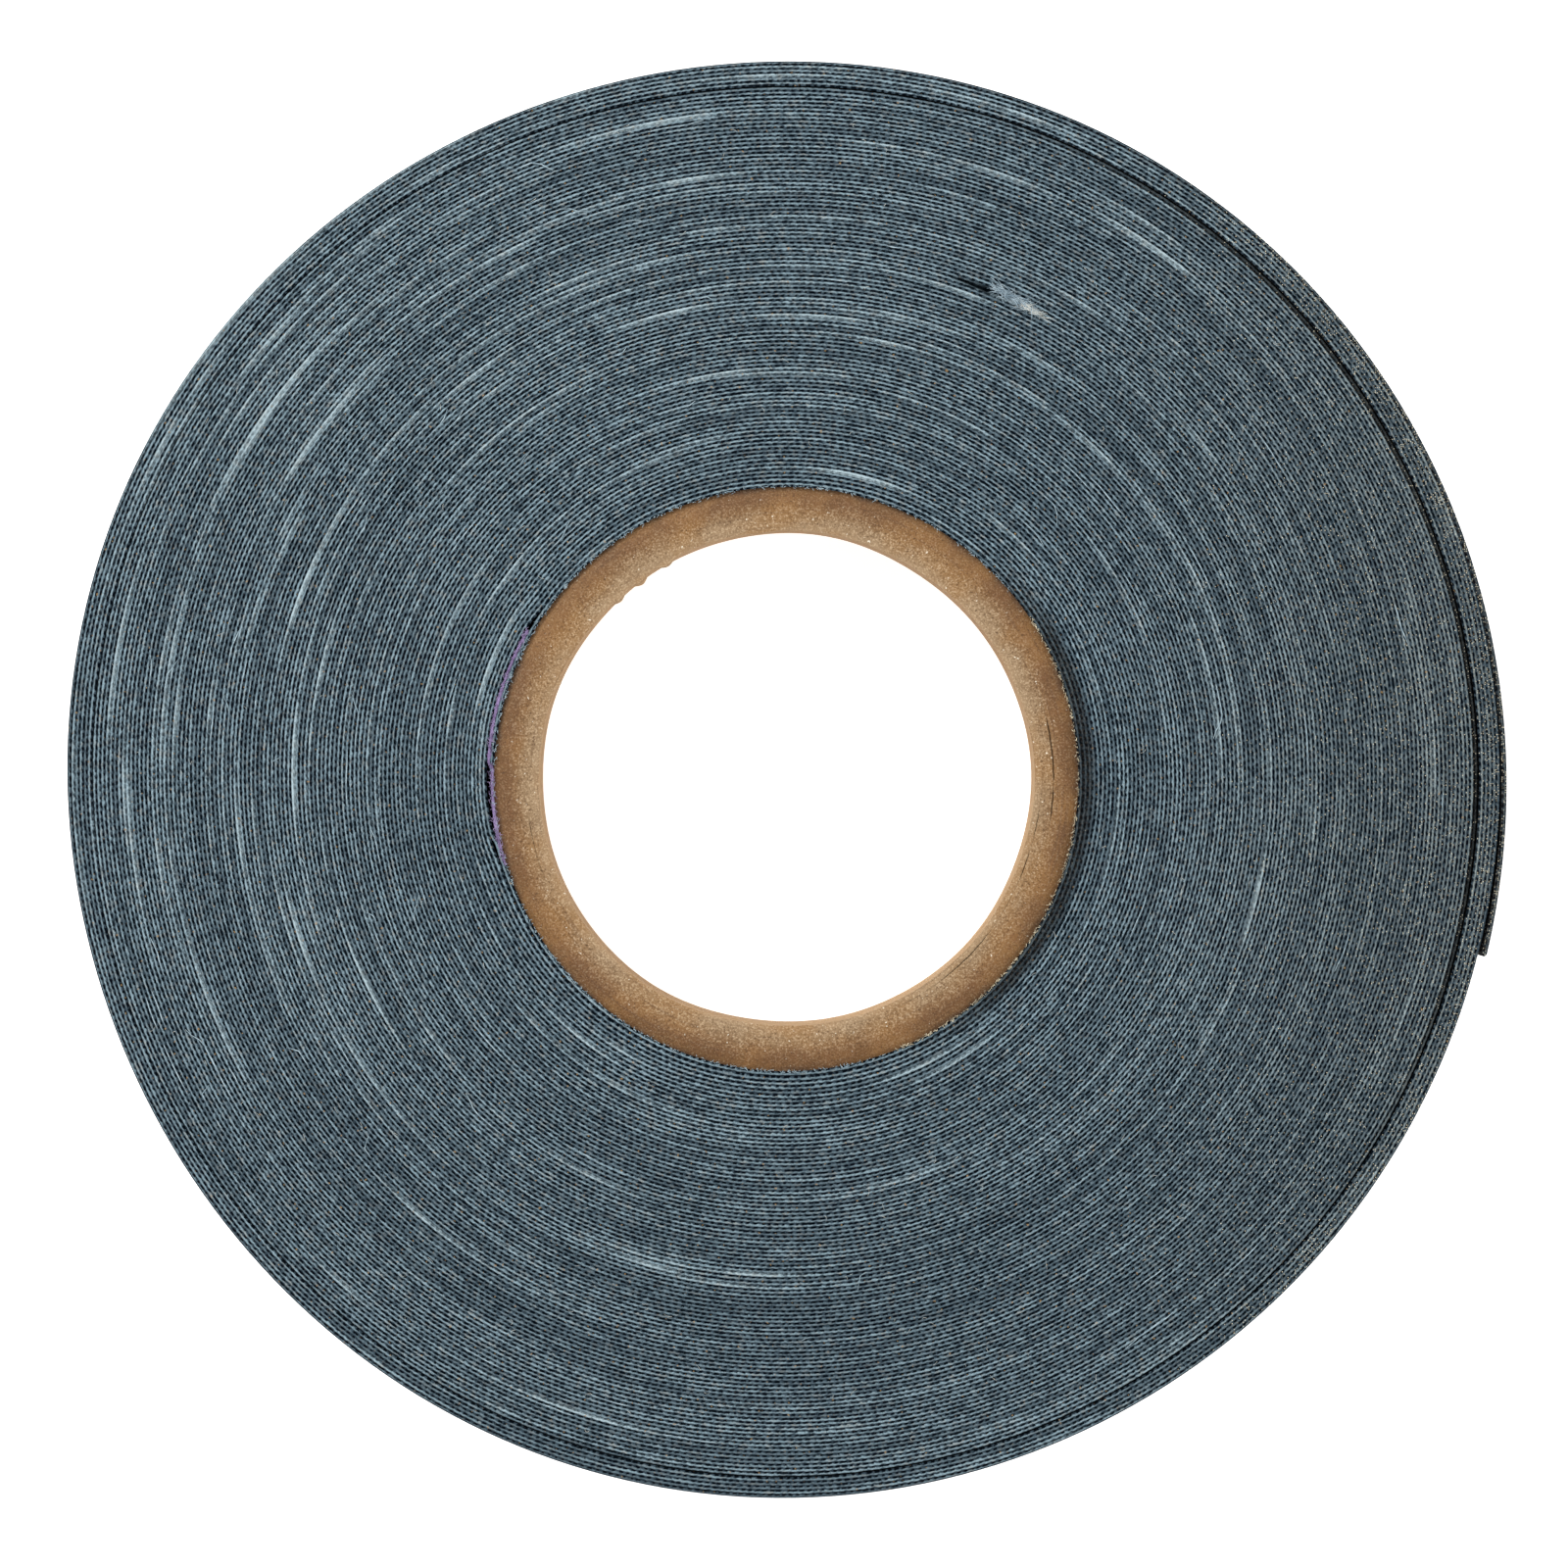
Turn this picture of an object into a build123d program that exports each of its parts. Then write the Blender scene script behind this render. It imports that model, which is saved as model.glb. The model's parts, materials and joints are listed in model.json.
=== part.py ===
"""Roll of woven cloth grip tape on a wound paper core.

Millimetres, +Z up. The roll lies flat: its axis is +Z and the origin is on the core's axis, in the
plane that the roll rests on. Seen from above, the tape winds outward clockwise. Its first end lies
on the core at nine o'clock and its free end is on the outside, just below three o'clock.
"""

from build123d import *
from math import asin, cos, degrees, radians, sin
import os

# The tape
WIDTH = 24.0  # slit width, and so the height of the roll as it lies
PITCH = 0.3155  # cloth and adhesive together, one turn to the next
THICKNESS = 0.28  # the cloth by itself, where the free end has come off its adhesive

# The core: a tube of glued paper plies
BORE_R = 19.05  # a 1 1/2 inch core
CORE_R = 22.46
PLY_NAMES = (
    "core_inner_liner",
    "core_ply_2",
    "core_ply_3",
    "core_ply_4",
    "core_ply_5",
    "core_ply_6",
    "core_outer_ply",
)
PLY_T = (CORE_R - BORE_R) / len(PLY_NAMES)

# The starter tab: half on the bare core, half over the first centimetre of tape
TAB_T = 0.25
TAB_STEP_T = 0.25  # along the core, where it climbs over the tape's first end
START_DEG = 177.0  # where the tape's first end lies
TAB_ON_CORE_DEG = 197.0
TAB_ON_TAPE_DEG = 150.0

# The tight turns, and the looser outer turns with a narrow gap inside them
TIGHT_R = 53.15
GAP_MOST = 0.32
GAP_LEAST = 0.06
GAP_MOST_DEG = 15.0
UNDER_TAIL_R = 54.90  # the outer turns' surface where the free end leaves it

# The free end of the tape: short lengths that bend where they meet
TAIL_NAMES = ("tape_end_1", "tape_end_2", "tape_end_3", "tape_end_4")
TAIL_ROOT_DEG = 20.0
TAIL_LENGTH = 33.2
TAIL_R = 56.4  # it has sprung open a little, so it curves less than the roll does
ROOT_CLEARANCE = 0.10  # over the turn below, at the root
BEND_GAP = 0.06  # left free beside each rounded end, so that it can turn


def polar(radius, angle):
    """The point at a radius from the core's axis and an angle in degrees."""
    return Vector(radius * cos(radians(angle)), radius * sin(radians(angle)))


def arc_about_axis(radius, from_deg, to_deg):
    """An arc about the core's axis."""
    return ThreePointArc(
        polar(radius, from_deg),
        polar(radius, (from_deg + to_deg) / 2),
        polar(radius, to_deg),
    )


os.makedirs("parts", exist_ok=True)

# Core plies, from the bore outward
for number, name in enumerate(PLY_NAMES):
    inner_r = BORE_R + number * PLY_T
    with BuildPart() as ply:
        with BuildSketch(Plane.XY):
            Circle(inner_r + PLY_T)
            Circle(inner_r, mode=Mode.SUBTRACT)
        extrude(amount=WIDTH)
    ply.part.label = name
    export_step(ply.part, f"parts/{name}.step")

# Starter tab, a strip with one step in it where it climbs over the tape's first end
over_tape_r = CORE_R + PITCH
step_deg = START_DEG + degrees(TAB_STEP_T / CORE_R)
with BuildSketch(Plane.XY) as tab_section:
    with BuildLine():
        arc_about_axis(CORE_R, TAB_ON_CORE_DEG, START_DEG)
        Line(polar(CORE_R, START_DEG), polar(over_tape_r, START_DEG))
        arc_about_axis(over_tape_r, START_DEG, TAB_ON_TAPE_DEG)
        Line(polar(over_tape_r, TAB_ON_TAPE_DEG), polar(over_tape_r + TAB_T, TAB_ON_TAPE_DEG))
        arc_about_axis(over_tape_r + TAB_T, TAB_ON_TAPE_DEG, step_deg)
        Line(polar(over_tape_r + TAB_T, step_deg), polar(CORE_R + TAB_T, step_deg))
        arc_about_axis(CORE_R + TAB_T, step_deg, TAB_ON_CORE_DEG)
        Line(polar(CORE_R + TAB_T, TAB_ON_CORE_DEG), polar(CORE_R, TAB_ON_CORE_DEG))
    make_face()

with BuildPart() as starter_tab:
    add(tab_section.sketch)
    extrude(amount=WIDTH)
starter_tab.part.label = "starter_tab"
export_step(starter_tab.part, "parts/starter_tab.step")

# The tight turns: the closed mass of tape, open only where the starter tab lies
with BuildPart() as tape_tight_turns:
    with BuildSketch(Plane.XY):
        Circle(TIGHT_R)
        Circle(CORE_R, mode=Mode.SUBTRACT)
        add(tab_section.sketch, mode=Mode.SUBTRACT)
    extrude(amount=WIDTH)
tape_tight_turns.part.label = "tape_tight_turns"
export_step(tape_tight_turns.part, "parts/tape_tight_turns.step")

# The outer turns: one turn of a spiral outside, drawn as two half circles whose centres are half a
# pitch apart, and inside a circle set off centre, so that the gap is widest at one side
root = polar(1, TAIL_ROOT_DEG)
quarter = PITCH / 4
first_half_r = UNDER_TAIL_R + quarter
second_half_r = UNDER_TAIL_R + 3 * quarter
across = polar(1, TAIL_ROOT_DEG - 90)
gap_offset = (GAP_MOST - GAP_LEAST) / 2
with BuildPart() as tape_outer_turns:
    with BuildSketch(Plane.XY):
        with BuildLine():
            ThreePointArc(
                root * UNDER_TAIL_R,
                across * first_half_r - root * quarter,
                root * -(UNDER_TAIL_R + 2 * quarter),
            )
            ThreePointArc(
                root * -(UNDER_TAIL_R + 2 * quarter),
                across * -second_half_r + root * quarter,
                root * (UNDER_TAIL_R + PITCH),
            )
            Line(root * (UNDER_TAIL_R + PITCH), root * UNDER_TAIL_R)
        make_face()
        with Locations(polar(gap_offset, GAP_MOST_DEG)):
            Circle(TIGHT_R + GAP_LEAST + gap_offset, mode=Mode.SUBTRACT)
    extrude(amount=WIDTH)
tape_outer_turns.part.label = "tape_outer_turns"
export_step(tape_outer_turns.part, "parts/tape_outer_turns.step")

# The free end: lengths of one arc about its own centre. Each has a round end on its bending line and
# stops square, just short of the next one's round end
half_t = THICKNESS / 2
tail_root_r = UNDER_TAIL_R + ROOT_CLEARANCE + half_t
tail_centre = root * (tail_root_r - TAIL_R)
end_room_deg = degrees(asin((half_t + BEND_GAP) / TAIL_R))
length_deg = degrees(TAIL_LENGTH / TAIL_R / len(TAIL_NAMES))
for number, name in enumerate(TAIL_NAMES):
    bend_deg = TAIL_ROOT_DEG - end_room_deg - number * length_deg
    stop_deg = bend_deg - length_deg + end_room_deg
    middle_deg = (bend_deg + stop_deg) / 2
    inside = TAIL_R - half_t
    outside = TAIL_R + half_t
    bend_line = tail_centre + polar(TAIL_R, bend_deg)
    with BuildPart() as tape_end:
        with BuildSketch(Plane.XY):
            with BuildLine():
                ThreePointArc(
                    tail_centre + polar(inside, bend_deg),
                    tail_centre + polar(inside, middle_deg),
                    tail_centre + polar(inside, stop_deg),
                )
                Line(tail_centre + polar(inside, stop_deg), tail_centre + polar(outside, stop_deg))
                ThreePointArc(
                    tail_centre + polar(outside, stop_deg),
                    tail_centre + polar(outside, middle_deg),
                    tail_centre + polar(outside, bend_deg),
                )
                ThreePointArc(
                    tail_centre + polar(outside, bend_deg),
                    bend_line + polar(half_t, bend_deg + 90),
                    tail_centre + polar(inside, bend_deg),
                )
            make_face()
        extrude(amount=WIDTH)
    tape_end.part.label = name
    export_step(tape_end.part, f"parts/{name}.step")
    print(f"{name} bends about ({bend_line.X:.4f}, {bend_line.Y:.4f})")
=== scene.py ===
"""Roll of woven cloth grip tape on a paper core, dressed for the bench.

Lengths are in millimetres inside the classes and become metres when a mesh is made. The roll lies
flat: its axis is +Z and its lower face is on the floor. Seen from above the tape winds outward
clockwise, from nine o'clock on the core to a free end just below three o'clock.
"""

import json
import logging
import math

from collections.abc import Callable, Sequence
from dataclasses import dataclass, field
from enum import Enum
from functools import partial

import bmesh
import bpy
import numpy as np
from mathutils import Matrix, Vector


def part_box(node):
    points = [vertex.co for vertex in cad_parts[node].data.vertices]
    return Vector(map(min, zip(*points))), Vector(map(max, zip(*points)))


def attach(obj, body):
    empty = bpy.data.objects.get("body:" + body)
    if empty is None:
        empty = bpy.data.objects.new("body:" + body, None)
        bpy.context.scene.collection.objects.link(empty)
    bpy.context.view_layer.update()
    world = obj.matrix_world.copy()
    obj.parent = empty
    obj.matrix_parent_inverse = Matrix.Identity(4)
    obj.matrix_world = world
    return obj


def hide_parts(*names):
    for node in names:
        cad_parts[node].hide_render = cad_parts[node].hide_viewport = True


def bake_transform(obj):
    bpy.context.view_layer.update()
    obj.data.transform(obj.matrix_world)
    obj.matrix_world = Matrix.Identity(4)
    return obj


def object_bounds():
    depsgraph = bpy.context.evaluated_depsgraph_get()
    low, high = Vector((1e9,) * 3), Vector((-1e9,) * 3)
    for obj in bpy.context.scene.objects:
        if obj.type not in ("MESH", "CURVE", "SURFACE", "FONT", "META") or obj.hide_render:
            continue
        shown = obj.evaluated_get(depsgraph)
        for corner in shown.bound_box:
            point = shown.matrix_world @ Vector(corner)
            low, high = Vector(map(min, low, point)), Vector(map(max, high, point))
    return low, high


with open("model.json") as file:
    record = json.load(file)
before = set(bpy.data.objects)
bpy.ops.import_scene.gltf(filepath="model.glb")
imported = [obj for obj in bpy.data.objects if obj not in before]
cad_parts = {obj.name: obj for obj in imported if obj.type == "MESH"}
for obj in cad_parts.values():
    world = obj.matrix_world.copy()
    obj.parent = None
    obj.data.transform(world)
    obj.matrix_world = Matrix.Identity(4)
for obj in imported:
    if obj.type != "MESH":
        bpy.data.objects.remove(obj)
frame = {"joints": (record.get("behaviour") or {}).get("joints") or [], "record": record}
CAD_LOW, CAD_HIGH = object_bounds()

MM = 0.001
ROLL = "roll"
SHARP_DEG = 55
LOG = logging.getLogger("grip_tape_roll")

Colour = tuple[float, float, float, float]


def paint(red: int, green: int, blue: int) -> Colour:
    """A paint-chart colour, 0 to 255 each, as the linear colour that shaders take.

    Args:
        red: the chart's red.
        green: the chart's green.
        blue: the chart's blue.

    Returns:
        The linear colour with full opacity.
    """
    parts = []
    for chart in (red, green, blue):
        share = chart / 255
        parts.append(share / 12.92 if share <= 0.04045 else ((share + 0.055) / 1.055) ** 2.4)
    return (parts[0], parts[1], parts[2], 1.0)


def ease(value: np.ndarray | float, low: float, high: float) -> np.ndarray:
    """A smooth rise from 0 at low to 1 at high, or a fall where high is below low."""
    share = np.clip((np.asarray(value, float) - low) / (high - low), 0.0, 1.0)
    return share * share * (3 - 2 * share)


def polar(radius: np.ndarray, degrees: np.ndarray, height: np.ndarray) -> np.ndarray:
    """Points at a distance and a direction from the axis, at a height."""
    angle = np.radians(degrees)
    return np.stack(np.broadcast_arrays(radius * np.cos(angle), radius * np.sin(angle), height), axis=-1)


def signed(degrees: np.ndarray) -> np.ndarray:
    """A direction as degrees from -180 to 180."""
    return np.mod(degrees + 180, 360) - 180


class Drift:
    """Smooth seeded noise along a line, for what wanders a little."""

    SIZE = 4096

    def __init__(self, seed: int) -> None:
        """Draws the noise's values, which the seed picks."""
        self.values = np.random.RandomState(seed).uniform(-1, 1, self.SIZE)

    def at(self, place: np.ndarray | float) -> np.ndarray:
        """The noise at each place.

        Args:
            place: distance along the line; one unit is one wave.

        Returns:
            Values from -1 to 1.
        """
        place = np.asarray(place, float)
        cell = np.floor(place).astype(int)
        blend = place - cell
        blend = blend * blend * (3 - 2 * blend)
        before = self.values[cell % self.SIZE]
        after = self.values[(cell + 1) % self.SIZE]
        return before + (after - before) * blend


class Slot(Enum):
    """The record's material slots."""

    LINER = "core_paper_light"
    PAPER = "core_paper"
    OUTER_PAPER = "core_paper_dark"
    TAB = "starter_tab"
    EDGE = "tape_edge"
    CLOTH = "tape_cloth"


class Side(Enum):
    """The two flat faces of the roll."""

    TOP = 1
    BOTTOM = -1


@dataclass(frozen=True)
class Wire:
    """What one node puts out, with the arithmetic that the finishes need."""

    recipe: "Recipe"
    socket: bpy.types.NodeSocket

    def __add__(self, other: "Feed") -> "Wire":
        """The sum."""
        return self.recipe.math("ADD", self, other)

    def __sub__(self, other: "Feed") -> "Wire":
        """The difference."""
        return self.recipe.math("SUBTRACT", self, other)

    def __rsub__(self, other: float) -> "Wire":
        """What this leaves of a number."""
        return self.recipe.math("SUBTRACT", other, self)

    def __mul__(self, other: "Feed") -> "Wire":
        """The product."""
        return self.recipe.math("MULTIPLY", self, other)

    def __truediv__(self, other: "Feed") -> "Wire":
        """The quotient."""
        return self.recipe.math("DIVIDE", self, other)

    def __abs__(self) -> "Wire":
        """The size without its sign."""
        return self.recipe.math("ABSOLUTE", self)

    def rise(self, low: float, high: float, least: float = 0.0, most: float = 1.0) -> "Wire":
        """A smooth rise from least at low to most at high.

        Args:
            low: where the curve starts.
            high: where it ends.
            least: its height at low.
            most: its height at high.

        Returns:
            The curve's height.
        """
        ends = (low, high, least, most)
        return self.recipe.wire("MapRange", self, *ends, interpolation_type="SMOOTHSTEP")



Feed = Wire | float


class Recipe:
    """One material's node tree, written a step at a time."""

    def __init__(self, name: str) -> None:
        """Starts the material.

        Args:
            name: the material's name.
        """
        self.material = bpy.data.materials.new(name)
        self.material.use_nodes = True
        self.tree = self.material.node_tree
        self.shader = self.tree.nodes["Principled BSDF"]

    def plug(self, socket: bpy.types.NodeSocket, feed: Feed | Colour) -> None:
        """Links a socket to a wire, or sets its value.

        Args:
            socket: the input.
            feed: the wire, or the value.
        """
        if isinstance(feed, Wire):
            self.tree.links.new(feed.socket, socket)
        else:
            socket.default_value = feed

    def step(self, kind: str, *feeds: Feed, **settings: str | bool) -> bpy.types.Node:
        """Adds a node.

        Args:
            kind: the node's type, without its ShaderNode prefix.
            feeds: what its first inputs take.
            settings: the node's own properties.

        Returns:
            The node.
        """
        node = self.tree.nodes.new("ShaderNode" + kind)
        for name, value in settings.items():
            setattr(node, name, value)
        for socket, feed in zip(node.inputs, feeds):
            self.plug(socket, feed)
        return node

    def wire(self, kind: str, *feeds: Feed, **settings: str | bool) -> Wire:
        """What a new node puts out first."""
        return Wire(self, self.step(kind, *feeds, **settings).outputs[0])

    def math(self, operation: str, *numbers: Feed) -> Wire:
        """The result of one arithmetic step."""
        return self.wire("Math", *numbers, operation=operation)

    def split(self, vector: Wire) -> tuple[Wire, ...]:
        """The three numbers of a vector or a colour."""
        return tuple(Wire(self, output) for output in self.step("SeparateXYZ", vector).outputs)

    def layout(self, name: str) -> tuple[Wire, ...]:
        """The two numbers that a mesh's layout of this name holds."""
        return self.split(self.wire("UVMap", uv_map=name))[:2]

    def mark(self, name: str) -> Wire:
        """The number that a mesh attribute of this name holds."""
        return Wire(self, self.step("Attribute", attribute_name=name).outputs["Fac"])

    def place(self) -> tuple[Wire, ...]:
        """The place on the roll along X, Y and Z, in millimetres."""
        metres = Wire(self, self.step("TexCoord").outputs["Object"])
        return tuple(number * (1 / MM) for number in self.split(metres))

    def noise(
        self, x: Feed, y: Feed, z: Feed = 0.0, scale: float = 1.0, detail: float = 2.0, rough: float = 0.5
    ) -> Wire:
        """Smooth noise about a half.

        Args:
            x: where it is read, as three numbers.
            y: the second.
            z: the third.
            scale: how many waves to a unit.
            detail: how many finer layers.
            rough: how strong those are.

        Returns:
            A number mostly from 0.25 to 0.75.
        """
        place = self.wire("CombineXYZ", x, y, z)
        return self.wire("TexNoise", place, 0.0, scale, detail, rough, noise_dimensions="3D")

    def blend(self, share: Feed, first: Wire | Colour, second: Wire | Colour) -> Wire:
        """Mixes two colours.

        Args:
            share: how much of the second.
            first: the colour at 0.
            second: the colour at 1.

        Returns:
            The mixed colour.
        """
        node = self.step("Mix", share, data_type="RGBA", blend_type="MIX", clamp_factor=True)
        self.plug(node.inputs[6], first)
        self.plug(node.inputs[7], second)
        return Wire(self, node.outputs[2])

    def bands(self, feed: Wire, stops: Sequence[tuple[float, Colour]]) -> Wire:
        """A colour chosen by a number.

        Args:
            feed: the number, 0 to 1.
            stops: each number with its colour.

        Returns:
            The colour.
        """
        node = self.step("ValToRGB", feed)
        elements = node.color_ramp.elements
        while len(elements) < len(stops):
            elements.new(0.5)
        for element, (position, colour) in zip(elements, stops):
            element.position = position
            element.color = colour
        return Wire(self, node.outputs[0])

    def finish(
        self,
        colour: Wire | Colour,
        rough: Feed,
        height: Wire | None = None,
        depth: float = 0.05,
        strength: float = 0.6,
        specular: float = 0.5,
        sheen: float = 0.0,
    ) -> bpy.types.Material:
        """Feeds the shader.

        Args:
            colour: the base colour.
            rough: the roughness.
            height: relief, 0 to 1, or none.
            depth: how deep the relief is, in millimetres.
            strength: how much of it shows.
            specular: the strength of the shine.
            sheen: the strength of the soft light that fibres catch.

        Returns:
            The finished material.
        """
        self.plug(self.shader.inputs["Base Color"], colour)
        self.plug(self.shader.inputs["Roughness"], rough)
        self.plug(self.shader.inputs["Specular IOR Level"], specular)
        self.plug(self.shader.inputs["Sheen Weight"], sheen)
        if height is not None:
            bump = self.step("Bump")
            self.plug(bump.inputs["Strength"], strength)
            self.plug(bump.inputs["Distance"], depth * MM)
            self.plug(bump.inputs["Height"], height)
            self.tree.links.new(bump.outputs[0], self.shader.inputs["Normal"])
        return self.material


LIE = "Lie"  # along the tape in millimetres, then across its edge 0 to 1, or up its face in millimetres
SHADE_AND_DARK_TURNS = "shade_and_dark_turns"  # 1 where the edge is painted dark: painted shade on the sunk last tight turn, and darker turns by the core and at the free end
SLIT_SHADE = "slit_shade"  # 1 where the edge is torn open; there the slit is painted the adhesive's black as painted shade


@dataclass(frozen=True)
class CutEdge:
    """The slit edge of the tape: a pale waving thread and black adhesive in each turn."""

    name: str = "cut_edge"
    weave: float = 0.56
    bead_scale: float = 7.0
    thread: Colour = paint(126, 147, 157)
    thread_warm: Colour = paint(136, 139, 136)
    greyed: Colour = paint(114, 119, 115)
    bright: Colour = paint(186, 204, 210)
    between: Colour = paint(54, 68, 78)
    adhesive: Colour = paint(4, 8, 14)
    # Near black for the painted shade on the sunk last tight turn and for the darker turns.
    shade_and_dark_black: Colour = paint(7, 8, 10)
    dried: Colour = paint(72, 64, 54)
    speck: Colour = paint(150, 122, 84)
    # Painted highlight: the bright colour of glints on the adhesive beads.
    bead_glint: Colour = paint(238, 228, 200)

    def make(self) -> bpy.types.Material:
        """Builds the material.

        Returns:
            The material.
        """
        recipe = Recipe(self.name)
        along, across = recipe.layout(LIE)
        x, y, _ = recipe.place()
        radius = recipe.math("SQRT", x * x + y * y)
        waves = along / self.weave
        grain = recipe.noise(x, y, scale=5.2, detail=3, rough=0.8) * 2.4 - 1.2
        streaks = self._streaks(recipe, x, y, radius, waves)
        line, dash = self._weave(recipe, waves, across, grain, streaks)

        warmth = recipe.noise(x, y, scale=1.3, detail=3).rise(0.48, 0.72, 0.0, 0.8)
        thread = recipe.blend(warmth, self.thread, self.thread_warm)
        thread = recipe.blend(x.rise(20.0, 56.0, 0.0, 0.75), thread, self.greyed)
        thread = recipe.blend(grain.rise(0.15, -0.55, 0.0, 0.8), thread, self.between)
        streak = (grain * 0.12 + streaks).rise(0.60, 0.78)
        thread = recipe.blend(streak * 0.5, thread, self.bright)
        fill = recipe.blend(grain.rise(-0.5, 0.35), self.adhesive, self.between)
        fill = recipe.blend(streak * 0.6, fill, thread)
        colour = recipe.blend(line, fill, thread)
        colour = recipe.blend(dash, colour, self.adhesive)

        # Small warm brown specks strewn over the edge.
        warm_specks = recipe.noise(x, y, scale=3.2, detail=1).rise(0.70, 0.78, 0.0, 0.6)
        colour = recipe.blend(warm_specks, colour, self.speck)
        # Painted shade on the sunk last tight turn, and the darker turns, near black with brown.
        shade_and_dark_turns = recipe.mark(SHADE_AND_DARK_TURNS)
        shade_and_dark_colour = recipe.blend(grain.rise(-0.1, 0.7), self.shade_and_dark_black, self.dried)
        colour = recipe.blend(shade_and_dark_turns, colour, shade_and_dark_colour)
        # Painted highlights: bright glints on the adhesive beads, most towards +X and on the rim there.
        colour = recipe.blend(self._bead_glints(recipe, x, y, radius, shade_and_dark_turns), colour, self.bead_glint)
        # Painted shade in the torn slit: it is coloured the adhesive's black.
        slit_shade = recipe.mark(SLIT_SHADE)
        colour = recipe.blend(slit_shade, colour, self.adhesive)

        pale = line - dash
        calm = 1.0 - recipe.math("MAXIMUM", shade_and_dark_turns, slit_shade)
        height = (grain * 0.6 + pale) * calm
        return recipe.finish(colour, pale * 0.15 + 0.6, height, specular=0.0)

    @staticmethod
    def _streaks(recipe: Recipe, x: Wire, y: Wire, radius: Wire, waves: Wire) -> Wire:
        """Long pale streaks that follow the turns, a little stronger towards -X and +Y.

        Args:
            recipe: the material's node tree.
            x: the place on the roll, in millimetres.
            y: the same.
            radius: distance from the axis.
            waves: distance along the tape, in weave periods.

        Returns:
            Noise about a half, high in a streak.
        """
        threads = recipe.noise(waves * 0.024, 0.5, detail=3, rough=0.55)
        bundles = recipe.noise(x * 1.7 / radius, y * 1.7 / radius, radius * 1.5, detail=5, rough=0.62)
        return threads + (bundles - 0.5) * 0.3 + (y - x) * 0.0006

    @staticmethod
    def _weave(
        recipe: Recipe, waves: Wire, across: Wire, grain: Wire, streaks: Wire
    ) -> tuple[Wire, Wire]:
        """The thread that waves along each turn, and the dark hollows beside it.

        Args:
            recipe: the material's node tree.
            waves: distance along the tape, in weave periods.
            across: share across the turn.
            grain: fine noise about 0.
            streaks: long noise about a half.

        Returns:
            How much thread and how much hollow shows.
        """
        phase = (recipe.noise(waves * 0.3, 0.5) * 1.5 + waves) * math.tau
        lump = recipe.noise(waves * 1.3, 0.5, across) - 0.5
        centre = recipe.math("SINE", phase) * 0.07 + 0.70
        off = abs(across - centre) + grain * 0.3
        line = (off + lump * 0.8).rise(0.04, 0.34, 1.0, 0.0) * streaks.rise(0.30, 0.62, 0.35, 1.0)

        beat = recipe.math("COSINE", phase)
        along_dash = (beat + lump * 5.0 + grain * 1.2).rise(-0.45, 0.25)
        across_dash = (abs(across - 0.22) + grain * 0.25).rise(0.20, 0.36, 1.0, 0.0)
        return line, along_dash * across_dash * streaks.rise(0.56, 0.76, 1.0, 0.35)

    def _bead_glints(self, recipe: Recipe, x: Wire, y: Wire, radius: Wire, shade_and_dark_turns: Wire) -> Wire:
        """Bright glints on beads of dried adhesive, painted highlights, thickest towards +X and on the rim
        there.

        Args:
            recipe: the material's node tree.
            x: the place on the roll, in millimetres.
            y: the same.
            radius: distance from the axis.
            shade_and_dark_turns: how dark the edge is painted, painted shade on the sunk last tight turn
                included.

        Returns:
            How much painted glint shows.
        """
        cells = recipe.step("TexVoronoi", voronoi_dimensions="2D")
        recipe.plug(cells.inputs["Vector"], recipe.wire("CombineXYZ", x, y))
        recipe.plug(cells.inputs["Scale"], self.bead_scale)
        chance, tint, _ = recipe.split(Wire(recipe, cells.outputs["Color"]))
        side = x.rise(10.0, 58.0)
        rim = radius.rise(53.0, 55.0) * side.rise(0.3, 0.8)
        share = side * side * 0.13 + shade_and_dark_turns * side * 0.1 + rim * 0.28
        picked = (share - chance).rise(0.0, 0.02)
        size = Wire(recipe, cells.outputs["Distance"]).rise(0.1, 0.34, 1.0, 0.0)
        return picked * size * tint.rise(0.0, 1.0, 0.1, 0.85)


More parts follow.
